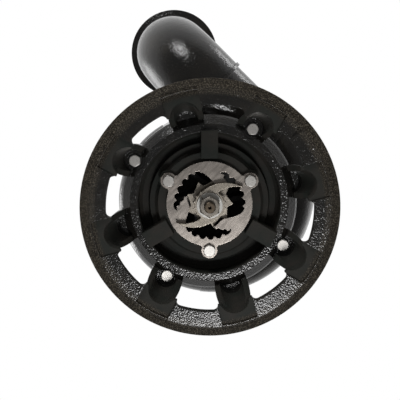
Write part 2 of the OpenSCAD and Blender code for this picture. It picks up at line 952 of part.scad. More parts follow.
module seal_spring() {
    spring_z = lower_seat_z + seal_seat_t + seal_face_gap + seal_ring_t;
    color("#b0aca4")
        translate([0, 0, spring_z])
            tube(seal_ring_r - fillet, seal_shaft_r + fit_gap,
                 upper_seat_z - seal_face_gap - seal_ring_t - spring_z);
}

module upper_seal_ring() {
    color("#3a3c40")
        translate([0, 0, upper_seat_z - seal_face_gap - seal_ring_t])
            tube(seal_ring_r, seal_shaft_r + fit_gap, seal_ring_t);
}

module upper_seal_seat() {
    color("#d8d5cc")
        translate([0, 0, upper_seat_z])
            tube(seal_seat_r, seal_shaft_r + turn_gap, seal_seat_t);
}

// Oil chamber: it closes the casing's back and holds the lower seal seat

plug_r = 8;
plug_head_share = 0.6;
plug_floor_share = 0.1;
plug_z = (casing_top + oil_flange_t + oil_top - housing_lug_h) / 2;
plug_turn = 200;

module oil_chamber() {
    inner_r = oil_r - casing_wall;
    color("#2c2d30")
        difference() {
            union() {
                translate([0, 0, back_z])
                    cylinder(r = back_r, h = casing_top - back_z + cut);
                translate([0, 0, casing_top])
                    cylinder(r = oil_flange_r, h = oil_flange_t);
                around(4, lug_circle_r, rib_turn)
                    translate([0, 0, casing_top])
                        cylinder(r = oil_lug_r, h = oil_flange_t);
                translate([0, 0, casing_top])
                    cylinder(r = oil_r, h = oil_top - casing_top);
                translate([0, 0, oil_top - housing_lug_h])
                    cylinder(r = motor_r, h = housing_lug_h);
                around(4, housing_lug_circle_r, 0)
                    translate([0, 0, oil_top - housing_lug_h])
                        cylinder(r = housing_lug_r, h = housing_lug_h);
                rotate(plug_turn)
                    translate([0, 0, plug_z])
                        rotate([0, 90, 0])
                            cylinder(r = plug_r + 2 * fillet, h = oil_r + 2 * fillet);
            }
            translate([0, 0, oil_floor_z])
                cylinder(r = inner_r, h = oil_top);
            translate([0, 0, back_z - cut])
                cylinder(r = seal_shaft_r + turn_gap, h = oil_floor_z);
            translate([0, 0, lower_seat_z])
                cylinder(r = seal_seat_r + fit_gap, h = oil_floor_z);
            around(4, lug_circle_r, rib_turn)
                cylinder(r = screw_r + hole_gap, h = casing_top + oil_flange_t + cut);
            around(4, housing_lug_circle_r, 0)
                translate([0, 0, oil_top - housing_lug_h - cut])
                    cylinder(r = bolt_r + fit_gap, h = housing_lug_h + 2 * cut);
            rotate(plug_turn)
                translate([0, 0, plug_z])
                    rotate([0, 90, 0])
                        cylinder(r = plug_r + fit_gap, h = 2 * oil_r);
            translate([0, 0, casing_top - 3 * ring_groove_r])
                tube(back_r + cut, back_r - 2 * ring_groove_r, 2 * ring_groove_r);
        }
}

module oil_chamber_screws() {
    color("#9a978f")
        around(4, lug_circle_r, rib_turn)
            translate([0, 0, casing_top + oil_flange_t])
                socket_screw(screw_r, oil_flange_t + screw_hole_h - cut);
}

module oil_chamber_o_ring() {
    color("#1b1b1b")
        translate([0, 0, casing_top - 2 * ring_groove_r])
            o_ring(back_r - ring_groove_r + fit_gap, ring_groove_r - fit_gap);
}

plug_seat_x = oil_r + 2 * fillet;
plug_washer_t = 1.6;

module oil_plug() {
    color("#8f8c85")
        rotate(plug_turn)
            translate([plug_seat_x + plug_washer_t, 0, plug_z])
                rotate([0, 90, 0])
                    difference() {
                        union() {
                            cylinder(r = plug_r + fillet, h = plug_r * plug_head_share);
                            translate([0, 0, -casing_wall - plug_washer_t])
                                cylinder(r = plug_r, h = casing_wall + plug_washer_t + fillet);
                        }
                        translate([0, 0, plug_r * plug_floor_share])
                            cylinder(r = plug_r / 2, h = plug_r, $fn = 6);
                    }
}

module oil_plug_washer() {
    color("#b87333")
        rotate(plug_turn)
            translate([plug_seat_x, 0, plug_z])
                rotate([0, 90, 0])
                    tube(plug_r + 2 * fillet, plug_r + hole_gap, plug_washer_t);
}

// Bearing bracket between the oil chamber and the motor
module bearing_bracket() {
    seat_hub_r = seal_seat_r + 2 * casing_wall;
    color("#34363a")
        difference() {
            union() {
                translate([0, 0, oil_top])
                    cylinder(r = motor_r, h = bracket_t);
                around(4, housing_lug_circle_r, 0)
                    translate([0, 0, oil_top])
                        cylinder(r = housing_lug_r, h = bracket_t);
                translate([0, 0, upper_seat_z])
                    cylinder(r = seat_hub_r, h = oil_top - upper_seat_z + cut);
                translate([0, 0, oil_top])
                    cylinder(r = lower_outer_r + casing_wall, h = lower_z + lower_w + fillet - oil_top);
            }
            translate([0, 0, upper_seat_z - cut])
                cylinder(r = seal_seat_r + fit_gap, h = seal_seat_t + cut);
            translate([0, 0, upper_seat_z])
                cylinder(r = seal_shaft_r + turn_gap, h = lower_z);
            translate([0, 0, lower_z])
                cylinder(r = lower_outer_r + fit_gap, h = 2 * lower_w);
            around(4, housing_lug_circle_r, 0)
                translate([0, 0, oil_top - cut])
                    cylinder(r = bolt_r + hole_gap, h = bracket_t + 2 * cut);
        }
}

// Ball bearings

function ball_circle_r(bore_r, outer_r) = (bore_r + outer_r) / 2;
ball_share = 0.26;
shoulder_share = 0.6;
function ball_r(bore_r, outer_r) = (outer_r - bore_r) * ball_share;

module race_groove(bore_r, outer_r) {
    rotate_extrude()
        translate([ball_circle_r(bore_r, outer_r), 0])
            circle(r = ball_r(bore_r, outer_r) + ball_gap, $fn = 32);
}

module outer_race(bore_r, outer_r, w) {
    color("#c2c0ba")
        difference() {
            tube(outer_r, ball_circle_r(bore_r, outer_r) + ball_r(bore_r, outer_r) * shoulder_share, w);
            translate([0, 0, w / 2])
                race_groove(bore_r, outer_r);
        }
}

module inner_race(bore_r, outer_r, w) {
    color("#c2c0ba")
        difference() {
            tube(ball_circle_r(bore_r, outer_r) - ball_r(bore_r, outer_r) * shoulder_share,
                 bore_r + fit_gap, w);
            translate([0, 0, w / 2])
                race_groove(bore_r, outer_r);
        }
}

module balls(bore_r, outer_r, w) {
    color("#d9d8d4")
        around(ball_count, ball_circle_r(bore_r, outer_r), 0)
            translate([0, 0, w / 2])
                sphere(r = ball_r(bore_r, outer_r));
}

module cage(bore_r, outer_r, w) {
    half_w_share = 0.35;
    half_h_share = 1.3;
    half_w = ball_r(bore_r, outer_r) * half_w_share;
    half_h = ball_r(bore_r, outer_r) * half_h_share;
    color("#a08a5a")
        difference() {
            translate([0, 0, w / 2 - half_h])
                tube(ball_circle_r(bore_r, outer_r) + half_w, ball_circle_r(bore_r, outer_r) - half_w,
                     2 * half_h);
            around(ball_count, ball_circle_r(bore_r, outer_r) - 2 * half_w, 0)
                translate([0, 0, w / 2])
                    rotate([0, 90, 0])
                        cylinder(r = ball_r(bore_r, outer_r) + ball_gap, h = 4 * half_w);
        }
}

module lower_bearing_outer_race() {
    translate([0, 0, lower_z])
        outer_race(lower_bore_r, lower_outer_r, lower_w);
}

module lower_bearing_inner_race() {
    translate([0, 0, lower_z])
        inner_race(lower_bore_r, lower_outer_r, lower_w);
}

module lower_bearing_balls() {
    translate([0, 0, lower_z])
        balls(lower_bore_r, lower_outer_r, lower_w);
}

module lower_bearing_cage() {
    translate([0, 0, lower_z])
        cage(lower_bore_r, lower_outer_r, lower_w);
}

module upper_bearing_outer_race() {
    translate([0, 0, upper_z])
        outer_race(upper_bore_r, upper_outer_r, upper_w);
}

module upper_bearing_inner_race() {
    translate([0, 0, upper_z])
        inner_race(upper_bore_r, upper_outer_r, upper_w);
}

module upper_bearing_balls() {
    translate([0, 0, upper_z])
        balls(upper_bore_r, upper_outer_r, upper_w);
}

module upper_bearing_cage() {
    translate([0, 0, upper_z])
        cage(upper_bore_r, upper_outer_r, upper_w);
}

// Motor

module rotor_core() {
    color("#6d6a66")
        translate([0, 0, rotor_z])
            tube(rotor_r, rotor_shaft_r + fit_gap, rotor_len);
}

module rotor_end_rings() {
    color("#b8bcc0")
        for (z = [rotor_z - end_ring_t, rotor_z + rotor_len])
            translate([0, 0, z])
                tube(rotor_r - fillet, rotor_shaft_r + 2 * fillet, end_ring_t);
}

module stator_core() {
    slot_count = 24;
    slot_w = 3;
    slot_share = 0.55;
    slot_depth = (motor_inner_r - stator_inner_r) * slot_share;
    color("#7a7772")
        translate([0, 0, stator_z])
            difference() {
                tube(motor_inner_r - fit_gap, stator_inner_r, stator_len);
                around(slot_count, stator_inner_r + 2 * fillet, 0)
                    translate([0, -slot_w / 2, -cut])
                        cube([slot_depth, slot_w, stator_len + 2 * cut]);
            }
}

module stator_windings() {
    color("#b5622e")
        for (z = [stator_z - winding_h, stator_z + stator_len])
            translate([0, 0, z])
                rotate_extrude()
                    polygon([[winding_in_r, 2 * fillet], [winding_in_r + 2 * fillet, 0],
                        [winding_out_r - 2 * fillet, 0], [winding_out_r, 2 * fillet],
                        [winding_out_r, winding_h - 2 * fillet], [winding_out_r - 2 * fillet, winding_h],
                        [winding_in_r + 2 * fillet, winding_h], [winding_in_r, winding_h - 2 * fillet]]);
}

module motor_housing() {
    rib_half = 4.5;
    color("#222326")
        difference() {
            union() {
                translate([0, 0, motor_z])
                    cylinder(r1 = motor_r, r2 = motor_r - fillet, h = motor_len);
                around(4, housing_lug_circle_r, 0)
                    translate([0, 0, motor_z])
                        cylinder(r = housing_lug_r, h = housing_foot_t);
                around(4, cover_screw_circle_r, 45)
                    translate([0, 0, motor_top - 5 * bolt_r])
                        cylinder(r = top_lug_r, h = 5 * bolt_r);
                around(4, motor_r - fillet, 45)
                    translate([0, 0, motor_z + fillet])
                        cylinder(r = rib_half, h = motor_len - 2 * fillet);
            }
            translate([0, 0, motor_z - cut])
                cylinder(r = motor_inner_r, h = motor_len + 2 * cut);
            around(4, housing_lug_circle_r, 0)
                translate([0, 0, motor_z - cut])
                    cylinder(r = bolt_r + hole_gap, h = housing_foot_t + 2 * cut);
            around(4, cover_screw_circle_r, 45)
                translate([0, 0, motor_top - 4 * bolt_r])
                    cylinder(r = bolt_r + fit_gap, h = 4 * bolt_r + cut);
        }
}

module housing_screws() {
    color("#9a978f")
        around(4, housing_lug_circle_r, 0)
            translate([0, 0, motor_z + housing_foot_t])
                socket_screw(bolt_r, housing_foot_t + bracket_t + 2 * bolt_r);
}

module upper_bracket() {
    wire_hole_r = 6;
    bearing_top = upper_z + upper_w + fillet;
    color("#34363a")
        difference() {
            union() {
                translate([0, 0, motor_top])
                    cylinder(r = motor_r - fillet, h = upper_bracket_t);
                around(4, cover_screw_circle_r, 45)
                    translate([0, 0, motor_top])
                        cylinder(r = top_lug_r, h = upper_bracket_t);
                translate([0, 0, upper_z])
                    cylinder(r = upper_outer_r + casing_wall, h = motor_top - upper_z + cut);
            }
            translate([0, 0, upper_z - cut])
                cylinder(r = upper_outer_r + fit_gap, h = bearing_top - upper_z + cut);
            around(2, (upper_outer_r + motor_inner_r) / 2 + fillet, 90)
                translate([0, 0, motor_top - cut])
                    cylinder(r = wire_hole_r, h = upper_bracket_t + 2 * cut);
            around(4, cover_screw_circle_r, 45)
                translate([0, 0, motor_top - cut])
                    cylinder(r = bolt_r + hole_gap, h = upper_bracket_t + 2 * cut);
        }
}

module wave_spring() {
    color("#b0aca4")
        translate([0, 0, upper_z + upper_w])
            tube(upper_outer_r - fit_gap, upper_outer_r - 2 * fillet, fillet);
}

capacitor_r = 17;
capacitor_len = 62;
capacitor_off_share = 0.08;
terminal_off_share = 0.44;

module capacitor() {
    color("#d7d9db")
        translate([-dome_r * capacitor_off_share, -capacitor_len / 2, cover_z + capacitor_r + hole_gap])
            rotate([-90, 0, 0])
                cylinder(r = capacitor_r, h = capacitor_len);
}

module terminal_block() {
    block = [12, 36, 14];
    hole_r = 2;
    hole_count = 4;
    color("#e9e4d6")
        translate([dome_r * terminal_off_share, -block[1] / 2, cover_z])
            difference() {
                cube(block);
                for (i = [0:hole_count - 1])
                    translate([block[0] / 2, block[1] * (i + 1 / 2) / hole_count, block[2] / 2])
                        cylinder(r = hole_r, h = block[2]);
            }
}

// Top cover: a domed cap with a flange, two handle posts and a pad for the cable gland
module top_cover() {
    post_root_share = 0.6;
    outer = concat([[0, 0], [motor_r - fillet, 0], [motor_r - fillet, cover_flange_t - fillet],
        [motor_r - 2 * fillet, cover_flange_t], [dome_r, cover_flange_t]],
        arc(dome_r - dome_round, cover_h - dome_round, dome_round, 0, 90, 12), [[0, cover_h]]);
    inner_r = dome_r - cover_wall;
    inner = concat([[0, -cut], [inner_r, -cut]],
        arc(inner_r - dome_round, cover_h - cover_wall - dome_round, dome_round, 0, 90, 12),
        [[0, cover_h - cover_wall]]);
    color("#222326")
        difference() {
            union() {
                translate([0, 0, cover_z])
                    rotate_extrude()
                        polygon(outer);
                around(4, cover_screw_circle_r, 45)
                    translate([0, 0, cover_z])
                        cylinder(r = top_lug_r, h = cover_flange_t);
                for (side = [-1, 1])
                    translate([0, side * handle_span / 2, cover_top - dome_round])
                        cylinder(r = 2 * handle_r, h = dome_round + post_h);
                translate([gland_x, 0, cover_top - cover_wall])
                    cylinder(r = gland_hex / 2 + fillet, h = cover_wall + gland_pad_h);
            }
            translate([0, 0, cover_z])
                rotate_extrude()
                    polygon(inner);
            for (side = [-1, 1])
                translate([0, side * handle_span / 2, cover_top + post_h - 2 * dome_round * post_root_share])
                    cylinder(r = screw_r + fit_gap, h = 2 * dome_round);
            translate([gland_x, 0, cover_top - 2 * cover_wall])
                cylinder(r = gland_thread_r + fit_gap, h = 4 * cover_wall);
            around(4, cover_screw_circle_r, 45)
                translate([0, 0, cover_z - cut])
                    cylinder(r = bolt_r + hole_gap, h = cover_flange_t + 2 * cut);
            translate([0, 0, cover_z - cut])
                tube(inner_r + 4 * ring_groove_r, inner_r, cut + 2 * ring_groove_r - fit_gap);
        }
}

module cover_o_ring() {
    color("#1b1b1b")
        translate([0, 0, cover_z + ring_groove_r])
            o_ring(dome_r - cover_wall + 2 * ring_groove_r, ring_groove_r - 2 * fit_gap);
}

module cover_screws() {
    color("#9a978f")
        around(4, cover_screw_circle_r, 45)
            translate([0, 0, cover_z + cover_flange_t])
                socket_screw(bolt_r, cover_flange_t + upper_bracket_t + 3 * bolt_r);
}

// Handle: a round bar bent into a bow, with an eye at each end
module handle() {
    eye_r = 2 * handle_r;
    eye_t = handle_r;
    bend = 3 * handle_r;
    base = cover_top + post_h;
    crest = base + handle_rise - handle_r;
    half = handle_span / 2 - eye_r - handle_r / 2;
    color("#1f2022")
        difference() {
            union() {
                for (side = [-1, 1]) {
                    translate([0, side * handle_span / 2, base])
                        cylinder(r = eye_r, h = eye_t);
                    translate([-handle_r, side * handle_span / 2 - (side > 0 ? eye_r + handle_r : 0), base])
                        cube([2 * handle_r, eye_r + handle_r, eye_t]);
                    translate([0, side * half, base])
                        cylinder(r = handle_r, h = crest - bend - base);
                    translate([0, side * (half - bend), crest - bend])
                        rotate([90, 0, side > 0 ? 90 : -90])
                            rotate_extrude(angle = 90)
                                translate([bend, 0])
                                    circle(r = handle_r);
                }
                translate([0, half - bend, crest])
                    rotate([90, 0, 0])
                        cylinder(r = handle_r, h = 2 * (half - bend));
            }
            for (side = [-1, 1])
                translate([0, side * handle_span / 2, base - cut])
                    cylinder(r = screw_r + hole_gap, h = eye_t + 2 * cut);
        }
}

module handle_screws() {
    color("#9a978f")
        for (side = [-1, 1])
            translate([0, side * handle_span / 2, cover_top + post_h + handle_r])
                socket_screw(screw_r, handle_r + 3 * screw_r);
}

// Cable gland

module gland_body() {
    seat = cover_top + gland_pad_h;
    color("#3b3d41")
        translate([gland_x, 0, seat])
            difference() {
                union() {
                    translate([0, 0, -cover_wall - gland_pad_h])
                        cylinder(r = gland_thread_r, h = cover_wall + gland_pad_h + fillet);
                    cylinder(r = gland_hex / 2 / cos(30), h = gland_hex_h, $fn = 6);
                    cylinder(r = gland_thread_r + fillet / 2, h = 2 * gland_hex_h);
                }
                translate([0, 0, -2 * cover_wall - gland_pad_h])
                    cylinder(r = cable_r + hole_gap, h = 8 * gland_hex_h);
                translate([0, 0, gland_hex_h])
                    cylinder(r = 2 * cable_r - fillet, h = 2 * gland_hex_h);
            }
}

module gland_rubber() {
    color("#151515")
        translate([gland_x, 0, cover_top + gland_pad_h + gland_hex_h])
            tube(2 * cable_r - fillet - fit_gap, cable_r, gland_hex_h + fillet);
}

module gland_nut() {
    seat = cover_top + gland_pad_h + gland_hex_h;
    color("#3b3d41")
        translate([gland_x, 0, seat])
            difference() {
                union() {
                    cylinder(r = gland_hex / 2 / cos(30), h = gland_hex_h, $fn = 6);
                    translate([0, 0, gland_hex_h])
                        rotate_extrude()
                            polygon(concat([[0, 0]], arc(gland_hex / 2 - 3 * fillet, 0, 3 * fillet - fit_gap, 0, 90, 8),
                                [[0, 3 * fillet - fit_gap]]));
                }
                translate([0, 0, -cut])
                    cylinder(r = gland_thread_r + fillet / 2 + fit_gap, h = cut + gland_hex_h + fit_gap);
                translate([0, 0, -cut])
                    cylinder(r = 2 * cable_r - fillet, h = cut + gland_hex_h + fillet + fit_gap);
                cylinder(r = cable_r + hole_gap, h = 4 * gland_hex_h);
            }
}

base_casting();
base_bolts();
base_o_ring();
cutter_plate();
cutter_plate_bolts();
rotary_cutter();
toothed_ring();
lock_washer();
cutter_nut();
volute_casing();
discharge_elbow();
impeller();
impeller_key();
shaft();
lower_seal_seat();
lower_seal_ring();
seal_spring();
upper_seal_ring();
upper_seal_seat();
oil_chamber();
oil_chamber_screws();
oil_chamber_o_ring();
oil_plug();
oil_plug_washer();
bearing_bracket();
lower_bearing_outer_race();
lower_bearing_inner_race();
lower_bearing_balls();
lower_bearing_cage();
rotor_core();
rotor_end_rings();
stator_core();
stator_windings();
motor_housing();
housing_screws();
upper_bracket();
upper_bearing_outer_race();
upper_bearing_inner_race();
upper_bearing_balls();
upper_bearing_cage();
wave_spring();
capacitor();
terminal_block();
top_cover();
cover_o_ring();
cover_screws();
handle();
handle_screws();
gland_body();
gland_rubber();
gland_nut();
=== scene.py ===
import json

import bpy
from mathutils import Matrix, Vector

MM = 0.001

# Camera, found from the foot ring, the bolts, the cutter plate and the outlet collar
CAMERA_AT = Vector((100.6, 77.6, -787.2)) * MM
CAMERA_AIM = Vector((-0.11087, -0.09759, 0.98903))
CAMERA_RIGHT = Vector((-0.70689, 0.70726, -0.00945))
FOCAL_PIXELS = 928.55
PICTURE_PIXELS = 400
SENSOR_MM = 36
NEAREST_SEEN_MM = 10

# Directions in the row frame: towards the picture's lower edge, its right edge, the floor and the sky
PICTURE_DOWN = Vector((-1, -1, 0)).normalized()
PICTURE_RIGHT = Vector((-1, 1, 0)).normalized()
BELOW = Vector((0, 0, -1))
ABOVE = Vector((0, 0, 1))

# Inputs and output of a colour mix, which share their names with those of its other kinds
FIRST_COLOUR = 6
SECOND_COLOUR = 7
MIXED_COLOUR = 2
BEVEL_SAMPLES = 4

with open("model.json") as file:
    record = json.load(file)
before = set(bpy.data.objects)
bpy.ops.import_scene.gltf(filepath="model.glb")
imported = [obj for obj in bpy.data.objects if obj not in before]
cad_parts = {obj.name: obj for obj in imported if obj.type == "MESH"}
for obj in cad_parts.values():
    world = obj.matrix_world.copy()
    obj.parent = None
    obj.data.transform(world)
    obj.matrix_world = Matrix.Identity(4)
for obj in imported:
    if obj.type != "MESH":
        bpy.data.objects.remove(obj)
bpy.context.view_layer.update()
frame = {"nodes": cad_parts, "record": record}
nodes = frame["nodes"]


# Node helpers

def is_socket(value):
    return isinstance(value, bpy.types.NodeSocket)


def as_colour(value):
    """A colour with its opacity, from three shares of light or from one grey."""
    return (*value, 1) if isinstance(value, tuple) else (value, value, value, 1)


def fill_ramp(colour_ramp, stops):
    """Each stop is a position from 0 to 1 and its colour or grey."""
    elements = colour_ramp.elements
    while len(elements) < len(stops):
        elements.new(0.5)
    for element, (position, colour) in zip(elements, stops):
        element.position = position
        element.color = as_colour(colour)


class Shader:
    """A material's node tree with short calls for the nodes that the finishes share."""

    def __init__(self, name):
        self.material = bpy.data.materials.new(name)
        self.material.use_nodes = True
        self.tree = self.material.node_tree
        self.surface = self.tree.nodes["Principled BSDF"]
        self.place = self.node("TexCoord").outputs["Object"]

    def node(self, kind):
        return self.tree.nodes.new("ShaderNode" + kind)

    def link(self, value, target):
        """Feeds a node's input with another node's output or with a plain value."""
        if is_socket(value):
            self.tree.links.new(value, target)
        else:
            target.default_value = value

    def set(self, socket, value):
        self.link(value, self.surface.inputs[socket])

    def input_of(self, socket):
        """What the surface's socket is fed with so far."""
        return self.surface.inputs[socket].links[0].from_socket

    def product(self, first, second):
        return self.combined("MULTIPLY", first, second)

    def larger(self, first, second):
        return self.combined("MAXIMUM", first, second)

    def combined(self, operation, first, second):
        node = self.node("Math")
        node.operation = operation
        self.link(first, node.inputs[0])
        self.link(second, node.inputs[1])
        return node.outputs["Value"]

    def noise(self, size_mm, detail=3.0, roughness=0.55, place=None):
        """Clouds whose blobs are about size_mm across."""
        node = self.node("TexNoise")
        node.inputs["Scale"].default_value = 1 / (size_mm * MM)
        node.inputs["Detail"].default_value = detail
        node.inputs["Roughness"].default_value = roughness
        self.link(place or self.place, node.inputs["Vector"])
        return node.outputs["Fac"]

    def height(self, low_mm, high_mm):
        """0 at low_mm above the floor and 1 at high_mm, in the pump's own frame."""
        parts = self.node("SeparateXYZ")
        self.link(self.place, parts.inputs["Vector"])
        return self.between(parts.outputs["Z"], low_mm, high_mm)

    def from_axis(self, low_mm, high_mm):
        """0 at low_mm from the shaft's axis and 1 at high_mm."""
        flat = self.node("VectorMath")
        flat.operation = "LENGTH"
        self.link(self.stretched((1, 1, 0)), flat.inputs[0])
        return self.between(flat.outputs["Value"], low_mm, high_mm)

    def between(self, value, low_mm, high_mm):
        node = self.node("MapRange")
        self.link(value, node.inputs["Value"])
        node.inputs["From Min"].default_value = low_mm * MM
        node.inputs["From Max"].default_value = high_mm * MM
        return node.outputs["Result"]

    def stretched(self, shares):
        """The place, scaled along each axis, so that a cloud becomes streaks."""
        node = self.node("Mapping")
        node.inputs["Scale"].default_value = shares
        self.link(self.place, node.inputs["Vector"])
        return node.outputs["Vector"]

    def ramp(self, value, *stops):
        node = self.node("ValToRGB")
        self.link(value, node.inputs["Fac"])
        fill_ramp(node.color_ramp, stops)
        return node.outputs["Color"]

    def mix(self, share, first, second):
        """The first colour or grey where share is 0, and the second where it is 1."""
        node = self.node("Mix")
        node.data_type = "RGBA"
        self.link(share, node.inputs["Factor"])
        for value, socket in ((first, FIRST_COLOUR), (second, SECOND_COLOUR)):
            self.link(value if is_socket(value) else as_colour(value), node.inputs[socket])
        return node.outputs[MIXED_COLOUR]

    def bevel(self, radius_mm):
        """The surface's direction with its sharp edges rounded."""
        node = self.node("Bevel")
        node.samples = BEVEL_SAMPLES
        node.inputs["Radius"].default_value = radius_mm * MM
        return node.outputs["Normal"]

    def bump(self, height, depth_mm, strength, normal):
        node = self.node("Bump")
        node.inputs["Strength"].default_value = strength
        node.inputs["Distance"].default_value = depth_mm * MM
        self.link(height, node.inputs["Height"])
        self.link(normal, node.inputs["Normal"])
        return node.outputs["Normal"]


# Finishes

THIN_PAINT_STOPS = (
    (0.35, (0.011, 0.011, 0.0103)),
    (0.6, (0.018, 0.0162, 0.014)),
    (0.8, (0.03, 0.0265, 0.021)),
)
# Lighter, greenish enamel for the base's recesses: painted light that lifts the shade in its hollows and
# dish
PAINTED_RECESS_LIGHT_STOPS = (
    (0.35, (0.027, 0.03, 0.0265)),
    (0.65, (0.041, 0.037, 0.0325)),
)
DUST = (0.09, 0.083, 0.07)
THICK_ROUGHNESS = 0.45
THIN_SHINE = 0.5
THICK_SHINE = 0.08
BROWN_PAINT = (0.022, 0.019, 0.015)
BROWN_SPECK = (0.15, 0.13, 0.10)

# Regions of the base. Each bound is the size where the region fades out and the size where it is full.
# The hollows lie between the pads' faces and the flange's face, the dish within its wall from just under
# the flange's face up, and the sloping rim lowest and outermost
HOLLOW_ABOVE_MM = (0.3, 0.6)
HOLLOW_BELOW_MM = (36.5, 36)
DISH_ABOVE_MM = (30, 31)
DISH_WITHIN_MM = (65, 64)
RIM_BELOW_MM = (9, 7)
RIM_OUTSIDE_MM = (98, 101)


def enamel(s, dull_and_painted_light=0.0):
    """Glossy enamel over sand-cast iron: fine pimples, soft lumps and specks of dull dust.

    The second argument is the share, from 0 to 1, of a duller paint with no pimples and less gloss, whose
    lighter, greenish colour is painted light lifting the shade of recesses.
    Returns the specks.
    """
    pimples = s.noise(size_mm=1.45, detail=0.8, roughness=0.5)
    specks = s.noise(size_mm=0.8, detail=2)
    thin_paint = s.ramp(s.noise(size_mm=26), *THIN_PAINT_STOPS)
    # Painted light: a lighter, greenish enamel that lifts the shade in recesses
    painted_recess_light = s.ramp(s.noise(size_mm=19), *PAINTED_RECESS_LIGHT_STOPS)
    dusty = s.ramp(specks, (0.64, 0.0), (0.76, 0.6))
    gloss = s.ramp(pimples, (0.3, 0.1), (0.7, 0.2))
    lumped = s.bump(s.noise(size_mm=9), depth_mm=0.5, strength=0.25, normal=s.bevel(radius_mm=0.8))
    pimpled = s.bump(pimples, depth_mm=0.3, strength=0.85, normal=lumped)
    # Where the second argument is 1, the colour is the painted recess light instead of the thin paint
    s.set("Base Color", s.mix(dusty, s.mix(dull_and_painted_light, thin_paint, painted_recess_light), DUST))
    s.set("Roughness", s.mix(dull_and_painted_light, gloss, THICK_ROUGHNESS))
    s.set("Specular IOR Level", s.mix(dull_and_painted_light, THIN_SHINE, THICK_SHINE))
    s.set("Normal", s.mix(dull_and_painted_light, pimpled, lumped))
    return specks


def black_enamel():
    s = Shader("black_enamel")
    enamel(s)
    return s.material


def foot_enamel():
    """The same enamel, duller in the base's notches, hollows and dish, where a lighter, greenish colour is
    painted light lifting their shade, and browned on its sloping rim.
    """
    s = Shader("foot_enamel")
    hollow = s.product(s.height(*HOLLOW_ABOVE_MM), s.height(*HOLLOW_BELOW_MM))
    dish = s.product(s.height(*DISH_ABOVE_MM), s.from_axis(*DISH_WITHIN_MM))
    rim = s.product(s.height(*RIM_BELOW_MM), s.from_axis(*RIM_OUTSIDE_MM))
    # The hollows and the dish get a duller gloss and the lighter, greenish painted light that lifts their
    # shade
    specks = enamel(s, s.larger(hollow, dish))
    browned = s.mix(s.ramp(specks, (0.52, 0.0), (0.64, 1.0)), BROWN_PAINT, BROWN_SPECK)
    s.set("Base Color", s.mix(rim, s.input_of("Base Color"), browned))
    return s.material


def metal(name, colour, roughness, streak=(1, 1, 1), streak_mm=1.2, tint=0.25, edge_mm=0.4):
    """Worked metal: streaks from the tool, a slow drift of tone and softly broken edges."""
    s = Shader(name)
    streaks = s.noise(streak_mm, detail=4, place=s.stretched(streak))
    dark = tuple(share * (1 - tint) for share in colour)
    drift = s.ramp(s.noise(size_mm=14), (0.35, 0.0), (0.7, 1.0))
    s.set("Metallic", 1.0)
    s.set("Base Color", s.mix(drift, colour, dark))
    s.set("Roughness", s.ramp(streaks, (0.3, roughness - 0.04), (0.7, roughness + 0.05)))
    s.set("Normal", s.bump(streaks, depth_mm=0.01, strength=0.08, normal=s.bevel(edge_mm)))
    return s.material


def dark_iron():
    s = Shader("dark_iron")
    grain = s.noise(size_mm=0.8, detail=5, roughness=0.65)
    clouds = s.noise(size_mm=11)
    s.set("Base Color", s.ramp(clouds, (0.35, (0.025, 0.025, 0.026)), (0.7, (0.055, 0.052, 0.048))))
    s.set("Roughness", s.ramp(grain, (0.3, 0.4), (0.7, 0.62)))
    s.set("Normal", s.bump(grain, depth_mm=0.14, strength=0.5, normal=s.bevel(radius_mm=1.0)))
    return s.material


def moulded(name, colour, roughness):
    """Rubber or plastic from a mould: a fine matt grain and a slow change of tone."""
    s = Shader(name)
    grain = s.noise(size_mm=0.5)
    lighter = tuple(min(share * 1.35 + 0.004, 1) for share in colour)
    drift = s.ramp(s.noise(size_mm=7), (0.35, 0.0), (0.75, 1.0))
    s.set("Base Color", s.mix(drift, colour, lighter))
    s.set("Roughness", s.ramp(grain, (0.3, roughness - 0.08), (0.7, roughness + 0.08)))
    s.set("Normal", s.bump(grain, depth_mm=0.04, strength=0.3, normal=s.bevel(radius_mm=0.5)))
    return s.material


# How each kind of streak squeezes or draws out the clouds along x, y and z
AROUND_SHAFT = (0.08, 0.08, 3)
ALONG_SHEETS = (0.05, 0.05, 4)
ALONG_WINDING = (1, 1, 0.2)
ACROSS_PLATE = (1, 0.25, 1)
ACROSS_CAN = (1, 0.05, 1)

